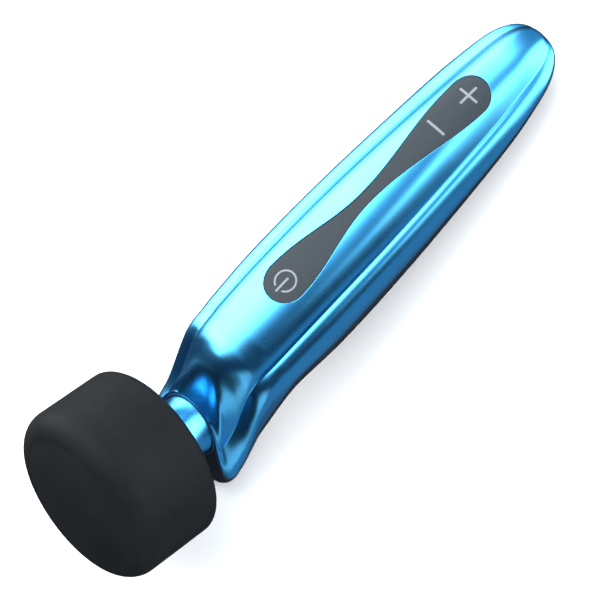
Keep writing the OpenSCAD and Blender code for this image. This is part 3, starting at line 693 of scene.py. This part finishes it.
# ---------------------------------------------------------------- panel and keys
def build_panel():
    """The key panel, with a soft edge, as rings from the middle line out, down and back in."""
    inside = 0.96
    rings = [panel_ring(k * inside, -SUNK) for k in (0.0, 0.25, 0.5, 0.7, 0.85, 0.95)]
    for d, h in ((-0.22, 0), (-0.12, -0.012), (-0.05, -0.05), (-0.015, -0.11), (0, -0.2), (0, -PANEL_T)):
        rings.append(on_dome(edge + edge_out * d, -SUNK + h))
    rings += [panel_ring(k * inside, -SUNK - PANEL_T) for k in (0.9, 0.6, 0.3, 0.0)]
    ob = tidy(rings_mesh("key_panel", rings, caps=False))
    cut(ob, cylinders("key_holes", [(x, 0, KEY_HOLE_R, -15, 5) for x in KEYS.values()], 96))
    return wear(ob, PANEL, "panel_grey", "handle", "control_panel")


def build_key(name, x, segments=96):
    """A round key cap that follows the dome, with the stem that reaches its plunger."""
    a = np.linspace(0, 2 * math.pi, segments, endpoint=False)
    circle = np.c_[np.cos(a), np.sin(a)]
    rings = [on_dome(circle * r + (x, 0), -SUNK) for r in (0.0, 1.0, 2.0, 3.0, 4.0, 4.6, 5.02, 5.035)]
    rings += [on_dome(circle * KEY_CAP_R + (x, 0), -SUNK - h) for h in (0.02, CAP_T)]
    rings.append(on_dome(circle * STEM_R + (x, 0), -SUNK - CAP_T))
    rings += [row_frame(np.c_[circle * r + (x, 0), np.full(segments, STEM_TIP)]) for r in (STEM_R, 0.0)]
    ob = tidy(rings_mesh(name + "_key_cap", rings, caps=False))
    return wear(ob, PANEL, "panel_grey", name + "_button", name + "_key")


def ribbon(path, width):
    """Outline strips of a printed stroke with round ends, as rings (left, right) along the path."""
    p = np.asarray(path, float)
    d = np.gradient(p, axis=0)
    d /= np.linalg.norm(d, axis=1)[:, None]
    n = np.c_[-d[:, 1], d[:, 0]]
    half = width / 2

    def row(i, ahead, aside):
        return (p[i] + d[i] * ahead + n[i] * aside, p[i] + d[i] * ahead - n[i] * aside)

    q = np.radians([75, 55, 30])
    tail = [row(0, -half * math.cos(t), half * math.sin(t)) for t in q[::-1]]
    head = [row(-1, half * math.cos(t), half * math.sin(t)) for t in q]
    return np.array(tail + [row(i, 0.0, half) for i in range(len(p))] + head)


# The signs: top and bottom of the print from the key's face; radius, half gap and width of the
# ring; ends and width of its bar; half length and width of a stroke; start of the cross's arms.
PRINT_Z = (0.03, -0.05)
RING_R, RING_GAP, RING_W = 3.42, math.radians(27), 0.6
BAR_FROM, BAR_TO, BAR_W = -1.0, 4.1, 0.72
STROKE_HALF, STROKE_W, ARM_START = 3.35, 0.85, 0.42


def build_print(name, x, strokes):
    """Raised print of a sign on its key: each stroke is a thin closed strip that follows the key."""
    verts, faces = [], []
    for rows in strokes:
        n = len(rows)
        base = len(verts)
        for dz in PRINT_Z:
            verts += list(on_dome(rows.reshape(-1, 2) + (x, 0), -SUNK + dz))
        k = 2 * n
        for i in range(n - 1):
            a = base + 2 * i
            faces += [(a, a + 1, a + 3, a + 2), (a + k, a + k + 2, a + k + 3, a + k + 1)]
            faces += [(a, a + 2, a + k + 2, a + k), (a + 1, a + k + 1, a + k + 3, a + 3)]
        faces += [(base, base + k, base + k + 1, base + 1)]
        e = base + 2 * (n - 1)
        faces += [(e, e + 1, e + k + 1, e + k)]
    ob = tidy(new_object(name + "_sign", verts, faces), 30)
    return wear(ob, PRINT, "panel_grey", name + "_button")


def build_signs():
    """The signs: an open ring with a bar, one stroke, and a stroke crossed by two short ones."""
    a = np.linspace(RING_GAP, 2 * math.pi - RING_GAP, 97)
    ring = ribbon(np.c_[RING_R * np.cos(a), RING_R * np.sin(a)], RING_W)
    bar = ribbon(np.c_[np.linspace(BAR_FROM, BAR_TO, 12), np.zeros(12)], BAR_W)
    build_print("power", KEYS["power"], [ring, bar])
    across = np.c_[np.zeros(13), np.linspace(-STROKE_HALF, STROKE_HALF, 13)]
    build_print("minus", KEYS["minus"], [ribbon(across, STROKE_W)])
    along = np.c_[np.linspace(ARM_START, STROKE_HALF, 8), np.zeros(8)]
    build_print("plus", KEYS["plus"], [ribbon(p, STROKE_W) for p in (across, along, -along)])


# ---------------------------------------------------------------- neck and head
def arc(cx, cs, r, a0, a1, n):
    """Points of a profile along a round, between two angles in degrees."""
    return [(cx + r * math.cos(a), cs + r * math.sin(a)) for a in np.radians(np.linspace(a0, a1, n))]


def build_head_cover():
    """The soft cover as a lathed profile: rear lip, rear face, side, front round and crowned face."""
    lip_r, lip, rear_t = 20.0, 0.45, 2.0
    k, t = REAR_ROUND, COVER_T
    face, shoulder = HEAD_R - FRONT_ROUND, HEAD_LEN - FRONT_ROUND
    outer = [(lip_r, lip)] + arc(lip_r + lip, lip, lip, 180, 270, 5)[1:]
    outer += [(r, 0.0) for r in np.linspace(lip_r + 1, HEAD_R - k, 8)[:-1]]
    outer += arc(HEAD_R - k, k, k, -90, 0, 14)
    outer += [(HEAD_R, s) for s in np.linspace(k, shoulder, 22)[1:-1]]
    outer += arc(face, shoulder, FRONT_ROUND, 0, 90, 26)
    outer += [(face * f, HEAD_LEN + CROWN * (1 - f * f)) for f in np.linspace(1, 0, 24)[1:]]
    inner = [(face * f, HEAD_LEN - t + CROWN * (1 - f * f)) for f in np.linspace(0, 1, 10)]
    inner += arc(face, shoulder, FRONT_ROUND - t, 90, 0, 10)
    inner += [(HEAD_R - t, rear_t), (lip_r, rear_t), (lip_r, lip)]
    ob = lathe("head_cover_skin", outer + inner, 192, 50)
    return wear(ob, SILICONE, "head_silicone", "head", "head_cover")


def build_collar():
    """The glossy collar: a band of the ball, then a waist that flares to the head."""
    ball, band, waist_s, waist_r, front_r, front_s, bore = 10.8, 2.5, -9.5, 9.9, 14.4, -0.2, 8.1
    r0 = math.sqrt(ball ** 2 - band ** 2)
    s0 = PIVOT_S + band
    prof = [(bore, PIVOT_S - band)]
    for s in np.linspace(PIVOT_S - band, s0, 12):
        prof.append((math.sqrt(ball ** 2 - (s - PIVOT_S) ** 2), s))
    for s in np.linspace(s0, front_s, 40)[1:]:
        ahead = max(0, (s - waist_s) / -waist_s)
        behind = max(0, (waist_s - s) / (waist_s - s0))
        prof.append((waist_r + (r0 - waist_r) * behind ** 2 + (front_r - waist_r) * ahead ** 3, s))
    prof += [(bore, front_s), (bore, PIVOT_S - band)]
    ob = lathe("neck_collar_skin", prof, 160, 50)
    return wear(ob, BLUE, "plated_blue", "head", "neck_collar")


def build_flex_neck():
    """The rubber tube, in two halves that meet at the ball."""
    bore, outside, groove = 4.5, 7.35, 0.22
    flange_r, flange_t = 11.5, 2.6

    def tube(name, s0, s1, flange):
        prof = [(bore, s0)]
        if flange:
            prof += [(flange_r, s0), (flange_r, s0 + flange_t), (outside, s0 + flange_t)]
        first = s0 + flange_t + 0.2 if flange else s0
        prof += [(outside - groove * (k % 2), s) for k, s in enumerate(np.linspace(first, s1, 25))]
        prof += [(bore, s) for s in np.linspace(s1, s0, 10)]
        ob = lathe(name, prof, 64, 50)
        ob.data.materials.append(RUBBER)
        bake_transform(ob)
        return ob

    rear = tube("flex_neck_rear", -24.8, PIVOT_S, True)
    tube("flex_neck_front", PIVOT_S, -0.25, False)
    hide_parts("flex_neck")


# ---------------------------------------------------------------- build
build_upper_shell()
build_lower_shell()
build_panel()
for key_name, key_x in KEYS.items():
    build_key(key_name, key_x)
build_signs()
build_head_cover()
build_collar()
build_flex_neck()

slot_of = {s["node"]: s["material_slot"] for s in record["subparts"]}
for node_name, ob in frame["nodes"].items():
    if ob.hide_render:
        continue
    ob.data.materials.clear()
    ob.data.materials.append(BY_SLOT[slot_of[node_name]])
    ob.data.polygons.foreach_set("use_smooth", [True] * len(ob.data.polygons))
    ob.data.set_sharp_from_angle(angle=math.radians(30))

# ---------------------------------------------------------------- stage
FLOOR_HALF, FLOOR_Z = 6, -0.0002
corners = [(-1, -1), (1, -1), (1, 1), (-1, 1)]
floor = new_object("floor", [(x * FLOOR_HALF, y * FLOOR_HALF, 0) for x, y in corners], [(0, 1, 2, 3)])
floor.location.z = FLOOR_Z
floor_mat, floor_nt, floor_p = material("floor_paper")
paper = spread(floor_nt, noise(floor_nt, 3.0), 0, 1)
floor_nt.links.new(mix(floor_nt, paper, (0.93, 0.93, 0.935), (0.95, 0.95, 0.955)),
                   floor_p.inputs["Base Color"])
floor_p.inputs["Roughness"].default_value = 0.9
floor.data.materials.append(floor_mat)
floor.visible_glossy = False

# ---------------------------------------------------------------- light
world = bpy.data.worlds.new("studio")
bpy.context.scene.world = world
world.use_nodes = True
wt = world.node_tree
ray = wt.nodes.new("ShaderNodeTexCoord").outputs["Generated"]
split = wt.nodes.new("ShaderNodeSeparateXYZ")
wt.links.new(ray, split.inputs[0])
ray_x, ray_y, ray_z = (split.outputs[k] for k in "XYZ")


def maths(operation, *inputs):
    n = node(wt, "ShaderNodeMath", operation=operation)
    for socket, value in zip(n.inputs, inputs):
        if isinstance(value, (int, float)):
            socket.default_value = value
        else:
            wt.links.new(value, socket)
    return n.outputs["Value"]


def minus(value):
    return maths("MULTIPLY", value, -1)


def soft_step(value, low, high, top=1.0):
    """0 below low, rising smoothly to top at high."""
    r = node(wt, "ShaderNodeMapRange")
    r.interpolation_type = "SMOOTHSTEP"
    wt.links.new(value, r.inputs["Value"])
    r.inputs["From Min"].default_value, r.inputs["From Max"].default_value = low, high
    r.inputs["To Min"].default_value, r.inputs["To Max"].default_value = 0.0, top
    return r.outputs["Result"]


def soft_window(value, degrees):
    """1 between the two middle angles, falling to 0 at the outer two."""
    a, b, c, d = np.radians(degrees)
    return maths("MULTIPLY", soft_step(value, a, b), soft_step(minus(value), -d, -c))


def light_box(across, up, axis, turn, climb, strength):
    """A soft-edged light box: a window of the angle from up to across, and one of the angle along axis."""
    side = maths("ARCTAN2", across, up)
    both = maths("MULTIPLY", soft_window(side, turn), soft_window(maths("ARCSINE", axis), climb))
    return maths("MULTIPLY", both, strength)


def soft_glow(axis, low, high, strength):
    """A round soft patch of the studio about an axis, between two cosines."""
    d = node(wt, "ShaderNodeVectorMath", operation="DOT_PRODUCT")
    wt.links.new(ray, d.inputs[0])
    d.inputs[1].default_value = Vector(axis).normalized()
    return soft_step(d.outputs["Value"], low, high, strength)


def add_up(values):
    total = values[0]
    for v in values[1:]:
        total = maths("ADD", total, v)
    return total


def background(colour, strength):
    b = node(wt, "ShaderNodeBackground", Color=(*colour, 1))
    if isinstance(strength, (int, float)):
        b.inputs["Strength"].default_value = strength
    else:
        wt.links.new(strength, b.inputs["Strength"])
    return b.outputs[0]


def both_of(a, b):
    n = wt.nodes.new("ShaderNodeAddShader")
    wt.links.new(a, n.inputs[0])
    wt.links.new(b, n.inputs[1])
    return n.outputs[0]


BOXES = [
    light_box(minus(ray_y), ray_z, ray_x, (4, 26, 66, 122), (-44, -20, 12, 34), 6.0),
    light_box(minus(ray_x), ray_y, ray_z, (20, 38, 64, 88), (-30, -10, 38, 58), 4.2),
    soft_glow((0.72, 0.68, 0.08), 0.86, 0.98, 0.9),
]
GLOWS = [
    soft_glow((-1, -0.1, 0.5), 0.3, 0.9, 0.45),
    soft_glow((-0.3, -0.2, 1.0), 0.9, 1.0, 0.3),
    soft_glow((0.15, 0.8, -0.58), 0.72, 0.94, 0.35),
]
WHITE_LIGHT, BLUE_LIGHT, DIM_LIGHT = (1, 1, 1), (0.45, 0.78, 1.0), (0.02, 0.03, 0.06)
lit = both_of(background(WHITE_LIGHT, add_up(BOXES)), background(BLUE_LIGHT, add_up(GLOWS)))
wt.links.new(both_of(lit, background(DIM_LIGHT, 1.0)), wt.nodes["World Output"].inputs["Surface"])
wt.nodes.remove(wt.nodes["Background"])


def soft_light(name, at, size, watts, target=(0, 0, 0.03)):
    """A round area light that isn't seen in reflections, turned to the target."""
    data = bpy.data.lights.new(name, "AREA")
    data.shape, data.size, data.energy = "DISK", size, watts
    ob = bpy.data.objects.new(name, data)
    bpy.context.scene.collection.objects.link(ob)
    ob.location = at
    ob.rotation_mode = "QUATERNION"
    ob.rotation_quaternion = (Vector(target) - Vector(at)).to_track_quat("-Z", "Y")
    ob.visible_glossy = False


soft_light("top_light", (-0.2, -0.3, 1.4), 1.6, 16)
soft_light("fill_light", (0.5, 1.1, 0.9), 1.2, 13)

# ---------------------------------------------------------------- camera
# Where it looks, how far away it is, and its azimuth, elevation and roll.
CAM_TARGET, CAM_DISTANCE = Vector((0.00167, 0.00746, 0.04)), 0.6176
CAM_AZIMUTH, CAM_ELEVATION, CAM_ROLL = (math.radians(a) for a in (106.292, 70.113, -64.642))

cam_data = bpy.data.cameras.new("camera")
cam_data.lens, cam_data.sensor_width = 120.0, 36.0
cam_data.clip_start, cam_data.clip_end = 0.05, 20
cam = bpy.data.objects.new("camera", cam_data)
bpy.context.scene.collection.objects.link(cam)
level = math.cos(CAM_ELEVATION)
back = Vector((level * math.cos(CAM_AZIMUTH), level * math.sin(CAM_AZIMUTH), math.sin(CAM_ELEVATION)))
level_right = Vector((0, 0, 1)).cross(back).normalized()
right = level_right * math.cos(CAM_ROLL) + back.cross(level_right) * math.sin(CAM_ROLL)
up = back.cross(right)
cam_at = CAM_TARGET + back * CAM_DISTANCE
cam.matrix_world = Matrix([[right[i], up[i], back[i], cam_at[i]] for i in range(3)] + [[0, 0, 0, 1]])
bpy.context.scene.camera = cam
bpy.context.scene.view_settings.view_transform = "Standard"
